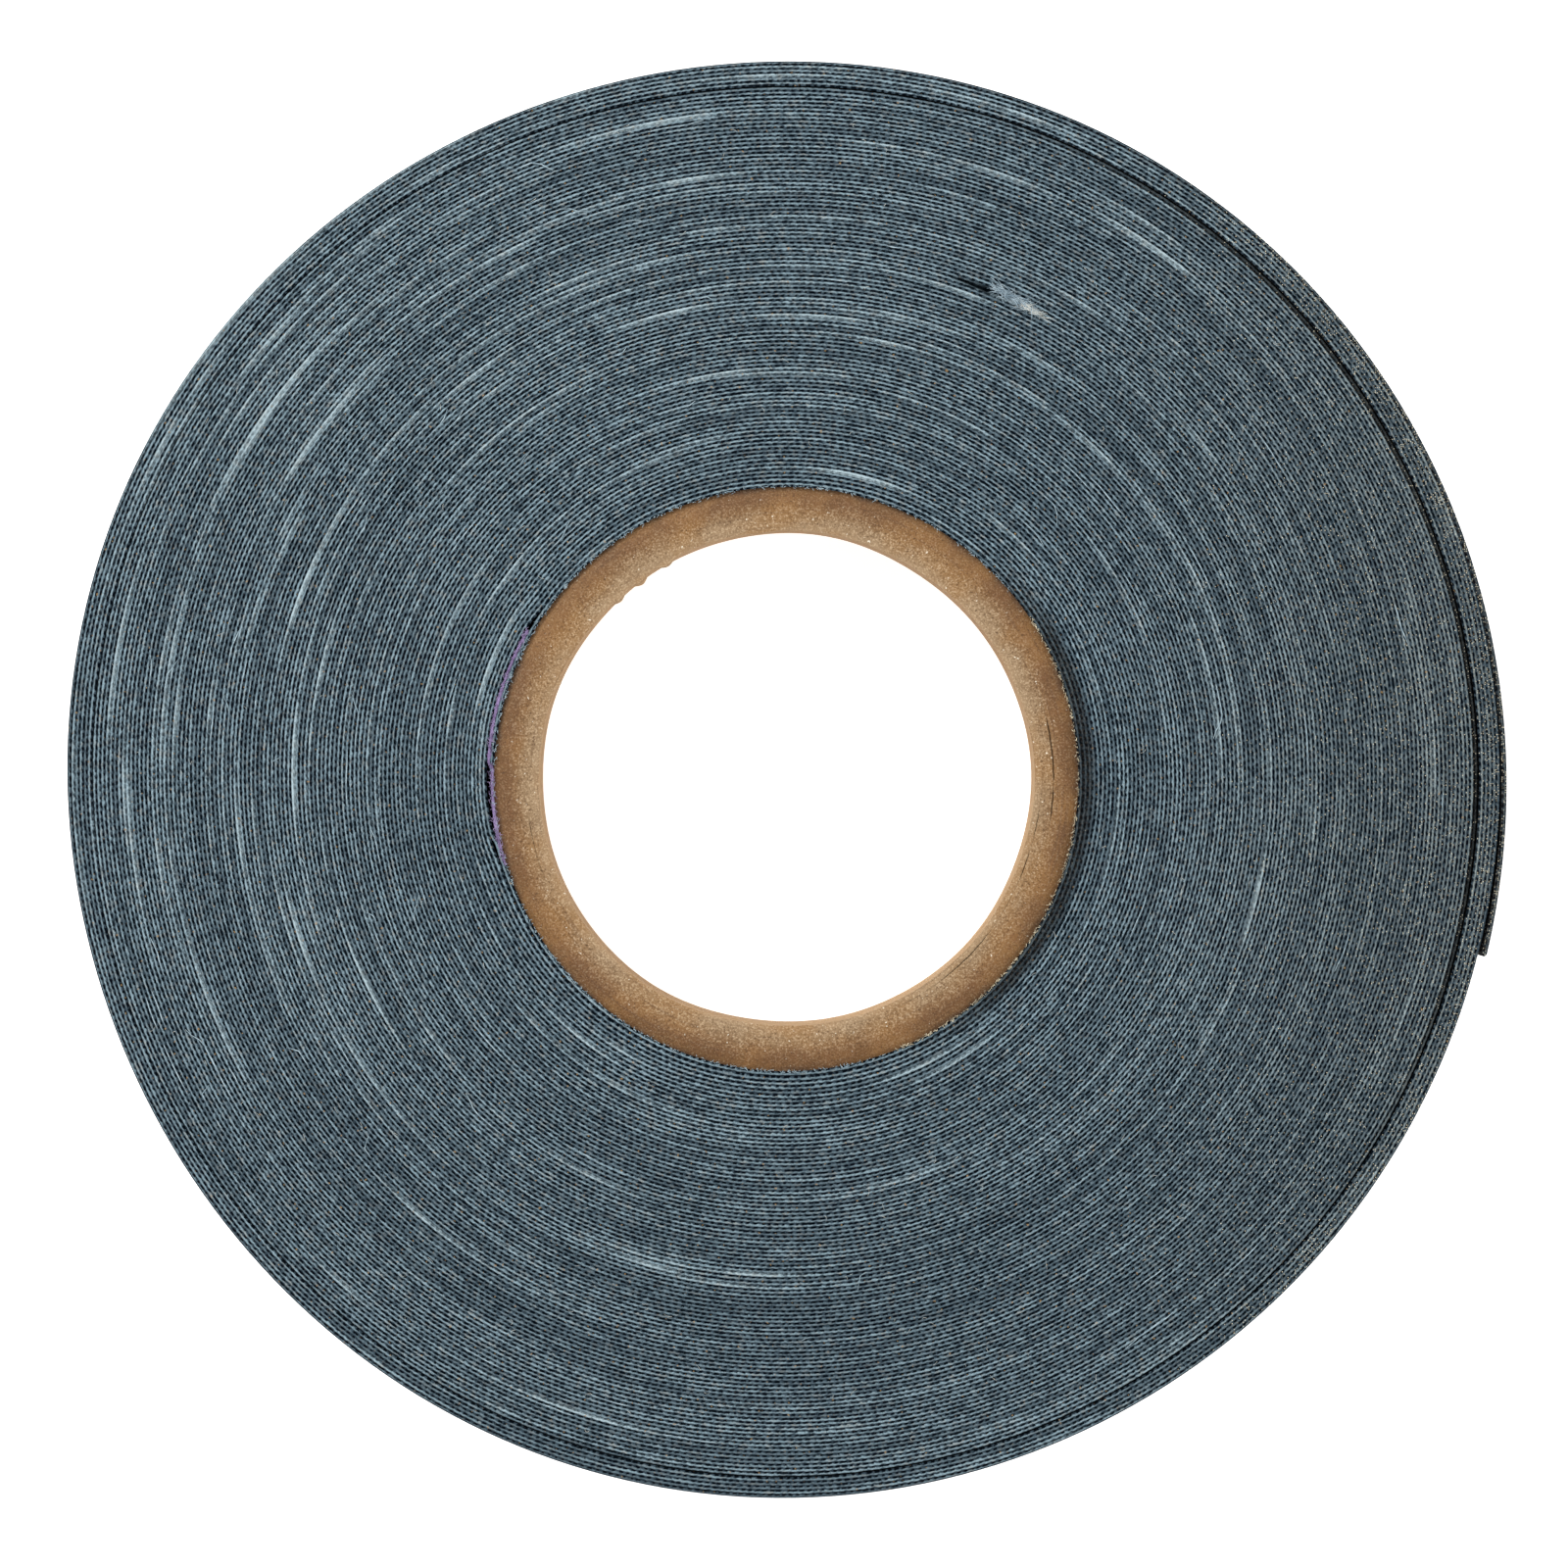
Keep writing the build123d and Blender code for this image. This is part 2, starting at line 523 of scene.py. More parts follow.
@dataclass(frozen=True)
class TapeCloth:
    """The flat face of the tape: a plain weave of waxed black cotton."""

    name: str = "tape_cloth"
    pitch: float = 0.28
    # Painted highlight: the grey of the thread crowns on the black cotton; the hollow colour below is
    # painted shade between the threads.
    thread: Colour = paint(50, 52, 54)
    slub: Colour = paint(92, 92, 90)
    hollow: Colour = paint(8, 8, 9)
    # Painted glints: the lint colour makes small yellow-brown sparkle flecks on the black cloth.
    lint: Colour = paint(138, 126, 98)

    def make(self) -> bpy.types.Material:
        """Builds the material.

        Returns:
            The material.
        """
        recipe = Recipe(self.name)
        along, up = recipe.layout(LIE)
        warp = along / self.pitch
        weft = up / self.pitch
        wander = (recipe.noise(warp, weft, scale=0.35, detail=1) - 0.5) * 0.7
        column = wander + warp
        row = wander + weft
        which_column = recipe.math("FLOOR", column)
        which_row = recipe.math("FLOOR", row)
        over = recipe.math("FLOORED_MODULO", which_column + which_row, 2.0)
        in_column = recipe.math("FRACT", column)
        in_row = recipe.math("FRACT", row)
        side = recipe.math("SINE", self._choose(over, in_column, in_row) * math.pi)
        crest = recipe.math("SINE", self._choose(over, in_row, in_column) * math.pi)
        height = recipe.math("SQRT", side) * (crest * 0.5 + 0.5)
        fibre = recipe.noise(warp, weft, scale=3.0)
        shade = height * fibre.rise(0.3, 0.7, 0.55, 1.15)
        # Painted highlight and painted shade: thread crowns lighter grey, hollows between them near black,
        # following the weave's relief.
        colour = recipe.blend(shade, self.hollow, self.thread)

        slub_weft = recipe.noise(warp * 0.05, which_row, scale=1.7)
        slub_warp = recipe.noise(which_column, weft * 0.05, scale=1.7)
        slub = self._choose(over, slub_weft, slub_warp)
        colour = recipe.blend(slub.rise(0.50, 0.74) * shade * 0.8, colour, self.slub)
        # Painted glints: small yellow-brown sparkle flecks strewn over the black cloth.
        flecks = recipe.noise(warp, weft, scale=0.9, detail=3).rise(0.66, 0.74, 0.0, 0.75)
        colour = recipe.blend(flecks, colour, self.lint)
        rough = fibre.rise(0.3, 0.7, 0.6, 0.8)
        relief = slub * 0.6 + (fibre * 0.25 + height)
        return recipe.finish(colour, rough, relief, depth=0.07, strength=1.0, specular=0.2, sheen=0.12)

    @staticmethod
    def _choose(which: Wire, zero: Wire, one: Wire) -> Wire:
        """The second number where which is 1, and the first where it is 0."""
        return which * (one - zero) + zero


@dataclass(frozen=True)
class CorePaper:
    """Pressed grey-brown paper, coloured by how far through the core's wall it is."""

    name: str
    bore_r: float
    outer_r: float
    width: float
    pits: float = 1.0
    through: tuple[tuple[float, Colour], ...] = (
        (0.0, paint(144, 120, 92)),
        (0.10, paint(136, 113, 86)),
        (0.30, paint(124, 100, 73)),
        (0.50, paint(110, 81, 51)),
        (0.70, paint(92, 62, 32)),
        (0.88, paint(97, 68, 38)),
        (1.0, paint(76, 55, 38)),
    )
    stain: Colour = paint(128, 92, 50)
    spoke: Colour = paint(104, 68, 38)
    ply_line: Colour = paint(82, 56, 34)
    pale: Colour = paint(192, 170, 140)
    pit: Colour = paint(64, 44, 27)
    fleck: Colour = paint(222, 214, 196)
    # The walls below the face take the liner's light tan: the liner's own paper, made lighter still as
    # painted light in the bore.
    lining: Colour = paint(180, 151, 114)
    lining_stain: Colour = paint(170, 140, 103)
    lining_pit: Colour = paint(110, 78, 50)
    face_depth: float = 0.45
    lining_depth: float = 0.6

    def make(self) -> bpy.types.Material:
        """Builds the material.

        Returns:
            The material.
        """
        recipe = Recipe(self.name)
        x, y, z = recipe.place()
        radius = recipe.math("SQRT", x * x + y * y)
        blur = recipe.noise(x, y, z, scale=0.5, detail=3)
        soft = (blur - 0.5) * 1.3 + radius
        depth = (soft - self.bore_r) / (self.outer_r - self.bore_r)
        burnish = depth.rise(0.35, 0.75)
        coarse = 1.0 - burnish * 0.6
        colour = recipe.bands(depth, self.through)
        stains = recipe.noise(x, y, z, scale=0.22, detail=3)
        colour = recipe.blend(stains.rise(0.42, 0.66, 0.0, 0.6), colour, self.stain)
        spokes = recipe.noise(x * 60.0 / radius, y * 60.0 / radius, radius * 0.5, detail=3)
        colour = recipe.blend(spokes.rise(0.35, 0.7) * burnish * 0.35, colour, self.spoke)
        layers = recipe.noise(x * 3.0 / radius, y * 3.0 / radius, radius * 5.0, detail=4)
        colour = recipe.blend(layers.rise(0.54, 0.68, 0.0, 0.45), colour, self.ply_line)
        grain = recipe.noise(x, y, z, scale=7.0, detail=3, rough=0.68)
        colour = recipe.blend(grain.rise(0.50, 0.66) * coarse * 0.48, colour, self.pale)
        dark = grain.rise(0.46, 0.30) * self.pits
        colour = recipe.blend(dark * 0.9, colour, self.pit)
        flecks = recipe.noise(x, y, z, scale=3.7, detail=1)
        colour = recipe.blend(flecks.rise(0.74, 0.79) * coarse * 0.8, colour, self.fleck)
        # Painted light in part: the walls below the face, the bore wall among them, take the lighter lining
        # colour, the liner's own tan made lighter still.
        lining = recipe.blend(stains.rise(0.35, 0.7), self.lining, self.lining_stain)
        lining = recipe.blend(dark * 0.35, lining, self.lining_pit)
        wall = z.rise(self.width - self.face_depth, self.width - self.lining_depth)
        colour = recipe.blend(wall, colour, lining)
        return recipe.finish(colour, burnish * -0.2 + 0.8, blur * 1.5 + grain, depth=0.08, specular=0.25)


@dataclass(frozen=True)
class PlainFibre:
    """Loose fibre of one colour, a little uneven along its length."""

    name: str
    colour: Colour
    shade: Colour
    scale: float = 2.0

    def make(self) -> bpy.types.Material:
        """Builds the material.

        Returns:
            The material.
        """
        recipe = Recipe(self.name)
        patch = recipe.noise(*recipe.place(), scale=self.scale, detail=3)
        colour = recipe.blend(patch.rise(0.35, 0.65), self.shade, self.colour)
        return recipe.finish(colour, patch.rise(0.3, 0.7, 0.65, 0.9), patch, depth=0.03, sheen=0.3)


def stand(name: str, data: bpy.types.ID) -> bpy.types.Object:
    """Puts a mesh, a light or a camera into the scene.

    Args:
        name: the object's name.
        data: what it shows.

    Returns:
        The object.
    """
    thing = bpy.data.objects.new(name, data)
    bpy.context.scene.collection.objects.link(thing)
    return thing


@dataclass
class Section:
    """A shape swept along a path: points (steps, around, 3) and what its corners carry."""

    points: np.ndarray
    layouts: dict[str, np.ndarray] = field(default_factory=dict)
    marks: dict[str, np.ndarray] = field(default_factory=dict)
    slots: Sequence[int] = ()
    loops: bool = False

    def mesh(self, name: str) -> bpy.types.Object:
        """Makes the closed mesh, in metres.

        Args:
            name: the piece's name.

        Returns:
            The piece.
        """
        steps, around, _ = self.points.shape
        index = np.arange(steps * around).reshape(steps, around)
        index = np.concatenate((index, index[:, :1]), axis=1)
        if self.loops:
            index = np.concatenate((index, index[:1]))
        quads = self._corners(index).reshape(-1, 4)
        flat = self.points.reshape(-1, 3)
        turned = self._volume(flat[quads]) < 0
        if turned:
            quads = quads[:, ::-1]
        faces = quads.tolist()
        if not self.loops:
            first = list(range(around))
            last = [(steps - 1) * around + index for index in range(around)]
            faces += [first, last[::-1]] if turned else [first[::-1], last]
        mesh = bpy.data.meshes.new(name)
        mesh.from_pydata((flat * MM).tolist(), [], faces)
        self._lay_out(mesh, turned)
        for mark, values in self.marks.items():
            attribute = mesh.attributes.new(mark, "FLOAT", "POINT")
            attribute.data.foreach_set("value", values.reshape(-1).astype(np.float32))
        if len(self.slots):
            chosen = np.zeros(len(mesh.polygons), np.int32)
            chosen[: len(quads)] = np.tile(np.asarray(self.slots, np.int32), len(quads) // around)
            mesh.polygons.foreach_set("material_index", chosen)
        mesh.shade_smooth()
        mesh.set_sharp_from_angle(angle=math.radians(SHARP_DEG))
        return stand(name, mesh)

    @staticmethod
    def _volume(corner: np.ndarray) -> float:
        """The volume that four-cornered faces enclose, times a constant, below 0 if they face inward."""
        first = np.einsum("ij,ij->i", corner[:, 0], np.cross(corner[:, 1], corner[:, 2])).sum()
        return first + np.einsum("ij,ij->i", corner[:, 0], np.cross(corner[:, 2], corner[:, 3])).sum()

    @staticmethod
    def _corners(grid: np.ndarray) -> np.ndarray:
        """The four corners of every face of a grid."""
        return np.stack((grid[:-1, :-1], grid[:-1, 1:], grid[1:, 1:], grid[1:, :-1]), axis=2)

    def _lay_out(self, mesh: bpy.types.Mesh, turned: bool) -> None:
        """Writes the corner layouts.

        Args:
            mesh: the mesh, with its faces in place.
            turned: whether the faces were turned over.
        """
        for name, grid in self.layouts.items():
            corners = self._corners(grid).reshape(-1, 4, 2)
            if turned:
                corners = corners[:, ::-1]
            values = np.zeros((len(mesh.loops), 2), np.float32)
            values[: corners.shape[0] * 4] = corners.reshape(-1, 2)
            mesh.uv_layers.new(name=name).data.foreach_set("uv", values.ravel())


def dress(piece: bpy.types.Object, materials: Sequence[bpy.types.Material]) -> None:
    """Gives a piece its materials.

    Args:
        piece: the piece.
        materials: its materials, in the order of its faces' numbers.
    """
    for material in materials:
        piece.data.materials.append(material)
    LOG.info("%s: %d faces", piece.name, len(piece.data.polygons))


def settle(
    piece: bpy.types.Object, materials: Sequence[bpy.types.Material], node: str = ""
) -> bpy.types.Object:
    """Dresses a piece that stays on the roll.

    Args:
        piece: the piece.
        materials: its materials, in the order of its faces' numbers.
        node: the CAD piece that it stands for, if any.

    Returns:
        The piece.
    """
    dress(piece, materials)
    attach(piece, ROLL)
    if node:
        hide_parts(node)
    return piece


@dataclass
class Winding:
    """How the strip of tape winds: its radius at every turn, counted from its first end."""

    core_r: float
    width: float
    hinges: Sequence[tuple[float, float]]
    pitch: float = 0.3155
    turns: float = 102.5313
    start_deg: float = 177.0
    climb_from: float = 0.93
    climb_to: float = 0.995
    climb_fade: float = 5.0
    loose_from: float = 96.964
    gap_least: float = 0.06
    gap_most: float = 0.14
    gap_most_deg: float = 15.0
    tab_t: float = 0.25
    tab_from_deg: float = 198.0
    tab_to_deg: float = 143.0
    tab_fade: float = 9.0
    lift_deg: float = 30.0
    end_swell: float = 0.05
    round_size: float = 0.13
    out_of_round: Sequence[tuple[float, float]] = ((0.13, 176.0), (0.06, -70.0), (0.15, 32.5), (0.07, -25.5))

    def __post_init__(self) -> None:
        """Fits the free end's line through the joints that bend it."""
        places = np.array(self.hinges)
        radii = np.hypot(places[:, 0], places[:, 1])
        angles = np.degrees(np.arctan2(places[:, 1], places[:, 0]))
        self.end_line = np.polyfit(angles, radii, 2)
        self.root_deg = float(angles[0])
        self.hinge_turns = math.floor(self.turns) + (self.start_deg - angles) / 360

    def angle(self, turn: np.ndarray | float) -> np.ndarray:
        """The direction from the axis, in degrees."""
        return self.start_deg - 360 * np.asarray(turn, float)

    def inner(self, turn: np.ndarray | float) -> np.ndarray:
        """The radius of the tape's inner face.

        Args:
            turn: turns from the first end.

        Returns:
            The radius, with the climb over the first end, the starter tab's bulge, the loose gap and
            the roll's slight lobes.
        """
        turn = np.asarray(turn, float)
        whole = np.floor(turn)
        share = turn - whole
        early = np.exp(-whole / self.climb_fade)
        climb = (1 - early) * share + early * ease(share, self.climb_from, self.climb_to)
        radius = self.core_r + self.pitch * (whole + climb)
        degrees = np.mod(self.angle(turn) + 60, 360) - 60
        tab = ease(degrees, self.tab_from_deg, self.tab_from_deg - 8)
        tab = tab * ease(degrees, self.tab_to_deg, self.tab_to_deg + 7)
        radius += self.tab_t * tab * np.exp(-(turn - 1) / self.tab_fade) * (turn > 0.96)
        radius += self.gap(degrees) * ease(turn, self.loose_from, self.loose_from + 0.02)
        out = (radius - self.core_r) / (self.pitch * self.turns)
        return radius + out * self.lobes(degrees)

    def gap(self, degrees: np.ndarray) -> np.ndarray:
        """The loose gap's width in each direction."""
        wide = (1 + np.cos(np.radians(degrees - self.gap_most_deg))) / 2
        return self.gap_least + (self.gap_most - self.gap_least) * wide

    def lobes(self, degrees: np.ndarray) -> np.ndarray:
        """How far the outermost turn stands out of round.

        Args:
            degrees: the direction from the axis.

        Returns:
            The distance outward.
        """
        out = np.zeros_like(degrees) + self.round_size
        for waves, (size, crest_deg) in enumerate(self.out_of_round, start=1):
            out += size * np.cos(waves * np.radians(degrees - crest_deg))
        return out

    def faces(self, turn: np.ndarray) -> tuple[np.ndarray, np.ndarray]:
        """The radii of the tape's inner and outer faces.

        Args:
            turn: turns from the first end.

        Returns:
            The inner and the outer radius.
        """
        inner = self.inner(turn)
        outer = self.inner(turn + 1)
        alone = (turn > min(self.turns - 1, self.hinge_turns[0] - 1)) | (turn < 1)
        before_gap = (turn <= self.loose_from) & (turn + 1 > self.loose_from)
        outer = np.where(alone | before_gap, inner + self.pitch, outer)
        degrees = self.start_deg - 360 * (turn - math.floor(self.turns))
        loose = ease(degrees, self.root_deg + self.lift_deg, self.root_deg)
        free = np.polyval(self.end_line, degrees) - self.pitch / 2
        last = turn > self.turns - 1
        lift = np.where(last, loose * (free - inner), 0.0)
        swell = np.where(last, loose * self.end_swell, 0.0)
        return inner + lift - swell, outer + lift + 0.4 * swell

    def length(self, turn: np.ndarray | float) -> np.ndarray:
        """The length of tape from its first end, along its middle.

        Args:
            turn: turns from the first end.

        Returns:
            The length at each.
        """
        fine = np.linspace(0, self.turns, 20001)
        inner, outer = self.faces(fine)
        middle = (inner + outer) / 2
        angle = np.radians(self.angle(fine))
        x, y = middle * np.cos(angle), middle * np.sin(angle)
        run = np.concatenate(([0.0], np.cumsum(np.hypot(np.diff(x), np.diff(y)))))
        return np.interp(turn, fine, run)

    def point(self, turn: float) -> tuple[float, float, float]:
        """The middle of the tape at a place.

        Args:
            turn: turns from the first end.

        Returns:
            The point, in metres.
        """
        inner, outer = self.faces(np.array([turn]))
        radius = float(inner[0] + outer[0]) / 2 * MM
        angle = math.radians(float(self.angle(turn)))
        return radius * math.cos(angle), radius * math.sin(angle), self.width / 2 * MM


@dataclass
class TapeStrip:
    """Makes lengths of the wound strip of tape."""

    winding: Winding
    ridge: Sequence[tuple[float, float]] = (
        (0.0, -0.04),
        (0.2, -0.07),
        (0.45, -0.03),
        (0.7, 0.0),
        (1.0, -0.04),
    )
    skin: float = 1.0
    slit_deg: float = 68.6
    slit_r: float = 40.65
    slit_depth: float = 0.8
    edge_zone: float = 0.2

    def __post_init__(self) -> None:
        """Draws the wandering of the edge."""
        self.fine = Drift(11)
        self.coarse = Drift(12)
        self.slow = Drift(13)

    def _edge_height(self, turn: np.ndarray, run: np.ndarray) -> np.ndarray:
        """How far the edge stands above or below the roll's face, from the length of tape at each turn."""
        threads = self.fine.at(run / 9) * 0.022 + self.coarse.at(run / 47) * 0.03
        return threads + self.slow.at(turn / 6.5) * 0.035

    def _sunk(self, turn: np.ndarray) -> np.ndarray:
        """How far the last tight turn has dropped into the roll.

        Args:
            turn: turns from the first end.

        Returns:
            The depth, 0 on every other turn.
        """
        degrees = signed(self.winding.angle(turn))
        last = (turn > self.winding.loose_from - 1) & (turn <= self.winding.loose_from)
        side = 0.06 + 0.26 * ease(np.cos(np.radians(degrees - 18)), 0.35, 0.98)
        return np.where(last, side, 0.0)

    def _darker_turns(self, turn: np.ndarray) -> np.ndarray:
        """How much darker the outermost turn is, most near its free end, and the first few turns by the
        core, around -8 degrees.

        Args:
            turn: turns from the first end.

        Returns:
            The darkness, 0 to 1.
        """
        before = self.winding.turns - turn
        last = (before < 1) * (0.10 + 0.38 * ease(before, 0.3, 0.1))
        degrees = signed(self.winding.angle(turn))
        first = ease(turn, 4.5, 2.5) * ease(np.abs(degrees + 8), 62, 30) * 0.75
        return np.maximum(last, first)

    def _torn(self, radius: np.ndarray, degrees: np.ndarray) -> np.ndarray:
        """The torn slit in the edge.

        Args:
            radius: distance from the axis.
            degrees: direction from the axis.

        Returns:
            1 inside the slit, falling to 0 round it.
        """
        along = (degrees - self.slit_deg) / 1.65
        across = (radius - self.slit_r) / (0.20 - 0.05 * along)
        return np.clip(1.35 * np.exp(-(along**4 + across**4)), 0, 1)

    def _steps(self, start: float, stop: float, per_turn: int) -> np.ndarray:
        """Places along the strip, evenly spaced in turns."""
        return np.linspace(start, stop, max(2, int(math.ceil((stop - start) * per_turn)) + 1))

    def _build(
        self,
        name: str,
        turn: np.ndarray,
        shape: Sequence[tuple[float, float, int]],
        ragged: bool = True,
    ) -> bpy.types.Object:
        """Sweeps one closed shape along the strip.

        Args:
            name: the piece's name.
            turn: the places along the strip.
            shape: each corner's share across the tape, height and material number.
            ragged: whether the edges stand uneven.

        Returns:
            The piece.
        """
        inner, outer = self.winding.faces(turn)
        degrees = self.winding.angle(turn)[:, None]
        run = self.winding.length(turn)
        share = np.array([corner[0] for corner in shape])
        level = np.array([corner[1] for corner in shape])
        slots = [corner[2] for corner in shape]
        radius = inner[:, None] + (outer - inner)[:, None] * share[None, :]
        height = np.repeat(level[None, :], len(turn), axis=0)
        torn = self._torn(radius, np.mod(degrees, 360))
        sunk = self._sunk(turn)
        if ragged:
            upper = level > self.winding.width - self.edge_zone
            lower = level < self.edge_zone
            lift = self._edge_height(turn, run)[:, None]
            height = height + upper[None, :] * (lift - sunk[:, None] - self.slit_depth * torn)
            height = height + lower[None, :] * np.abs(lift) * 0.7
        walls = np.array(slots + slots[:1]) == 1
        across = np.where(walls, np.append(level, level[0]), np.append(share, share[0]))
        lie = np.stack(np.broadcast_arrays(run[:, None], across[None, :]), axis=-1)
        # The edge is painted dark: painted shade on the sunk last tight turn, deepest where it has dropped
        # most, and the darker turns.
        shade_and_dark_turns = np.maximum(ease(sunk, 0.10, 0.34) * 0.85, self._darker_turns(turn))
        shade_and_dark_turns = np.repeat(shade_and_dark_turns[:, None], len(shape), axis=1)
        points = polar(radius, degrees, height)
        return Section(points, {LIE: lie}, {SHADE_AND_DARK_TURNS: shade_and_dark_turns, SLIT_SHADE: torn}, slots).mesh(name)

    def edge(self, name: str, start: float, stop: float, side: Side) -> bpy.types.Object:
        """The ridged slit edge of a length of tape, on one face of the roll.

        Args:
            name: the piece's name.
            start: the first turn.
            stop: the last turn.
            side: which face of the roll.

        Returns:
            The piece.
        """
        base = self.winding.width if side is Side.TOP else 0.0
        shape = [(share, base + side.value * drop, 0) for share, drop in self.ridge]
        shape.append((0.5, base - side.value * self.skin, 0))
        return self._build(name, self._steps(start, stop, 160), shape)

    def web(self, name: str, start: float, stop: float) -> bpy.types.Object:
        """The cloth between the two slit edges, wound up.

        Args:
            name: the piece's name.
            start: the first turn.
            stop: the last turn.

        Returns:
            The piece.
        """
        low, high = self.skin, self.winding.width - self.skin
        shape = [(0.0, low, 1), (0.0, high, 1), (1.0, high, 1), (1.0, low, 1)]
        return self._build(name, self._steps(start, stop, 120), shape, ragged=False)

    def whole(self, name: str, start: float, stop: float, per_turn: int = 240) -> bpy.types.Object:
        """A length of tape with both its faces and both its slit edges.

        Args:
            name: the piece's name.
            start: the first turn.
            stop: the last turn.
            per_turn: how many steps there are to a turn.

        Returns:
            The piece.
        """
        width = self.winding.width
        top = [(share, width + drop, 0) for share, drop in self.ridge]
        bottom = [(share, -drop, 0) for share, drop in reversed(self.ridge)]
        top[-1] = (*top[-1][:2], 1)
        bottom[-1] = (*bottom[-1][:2], 1)
        outer_wall = [(1.0, level, 1) for level in np.linspace(width, 0, 6)[1:-1]]
        inner_wall = [(0.0, level, 1) for level in np.linspace(0, width, 4)[1:-1]]
        return self._build(name, self._steps(start, stop, per_turn), top + outer_wall + bottom + inner_wall)


@dataclass
class GripTape:
    """The whole strip of tape, from the core to its free end."""

    winding: Winding
    edge_finish: bpy.types.Material
    cloth_finish: bpy.types.Material
    bend_from: float = -0.002
    bend_to: float = 0.006

    def build(self) -> None:
        """Makes and dresses every length of the tape."""
        strip = TapeStrip(self.winding)
        finishes = (self.edge_finish, self.cloth_finish)
        loose = self.winding.loose_from
        root = float(self.winding.hinge_turns[0])
        last_from = root - 1
        for title, node, start, stop, below in (
            ("tight", "tape_tight_turns", 0.0, loose, "core_outer_ply"),
            ("outer", "tape_outer_turns", loose, last_from, "tape_tight_turns"),
        ):
            web = strip.web(f"tape_web_{title}", start, stop)
            top = strip.edge(f"tape_edge_{title}_top", start, stop, Side.TOP)
            bottom = strip.edge(f"tape_edge_{title}_bottom", start, stop, Side.BOTTOM)
            for piece, slot in ((web, Slot.CLOTH), (top, Slot.EDGE), (bottom, Slot.EDGE)):
                settle(piece, finishes, node)
            length = self._metres(start, stop)
            self.winding.width * MM
            LOG.info("%s turns: %.3f m of tape", title, length)
        self._free_end(strip, last_from, root)

    def _metres(self, start: float, stop: float) -> float:
        """The length of tape between two places."""
        return float(self.winding.length(stop) - self.winding.length(start)) * MM

    def _free_end(self, strip: TapeStrip, last_from: float, root: float) -> None:
        """Makes the outermost turn and the free end, one length about each joint.

        Args:
            strip: makes the lengths.
            last_from: where the outermost turn starts.
            root: where the free end leaves the roll.
        """
        finishes = (self.edge_finish, self.cloth_finish)
        hinges = self.winding.hinge_turns
        half = (hinges[1] - hinges[0]) / 2
        last = strip.whole("tape_last_turn", last_from, root - half)
        settle(last, finishes, "tape_outer_turns")
        bodies = [ROLL] + [f"tail_{number}" for number in range(1, len(hinges) + 1)]
        for number, hinge in enumerate(hinges, start=1):
            at_end = number == len(hinges)
            stop = self.winding.turns if at_end else hinge + half
            piece = strip.whole(f"tape_free_{number}", hinge - half, stop, 1800)
            if at_end:
                self._round_end(piece)
            dress(piece, finishes)
            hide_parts(f"tape_end_{number}")
            bodies[number - 1]
            self.winding.point(hinge + self.bend_from)
            self.winding.point(hinge + self.bend_to)
            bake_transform(piece)
        self.winding.width * MM
        self._metres(last_from, root - half)

    def _round_end(self, piece: bpy.types.Object) -> None:
        """Rounds the very end of the tape, where the knife has pressed it.

        Args:
            piece: the last length of the free end.
        """
        inner, outer = self.winding.faces(np.array([self.winding.turns]))
        middle = float(inner[0] + outer[0]) / 2
        angle = math.radians(float(self.winding.angle(self.winding.turns)))
        out = Vector((math.cos(angle), math.sin(angle), 0))
        back = Vector((-math.sin(angle), math.cos(angle), 0))
        tip = out * middle * MM
        reach = self.winding.pitch * 0.8 * MM
        half = self.winding.pitch / 2 * MM
        for vertex in piece.data.vertices:
            flat = Vector((vertex.co.x, vertex.co.y, 0)) - tip
            behind = flat.dot(back)
            if behind >= reach:
                continue
            share = 1 - max(behind, 0.0) / reach
            squeeze = math.sqrt(max(0.0, 1 - (0.94 * share) ** 2))
            offset = flat.dot(out)
            droop = 0.25 * half * share
            target = (offset + droop) * squeeze - droop
            vertex.co += out * (target - offset)


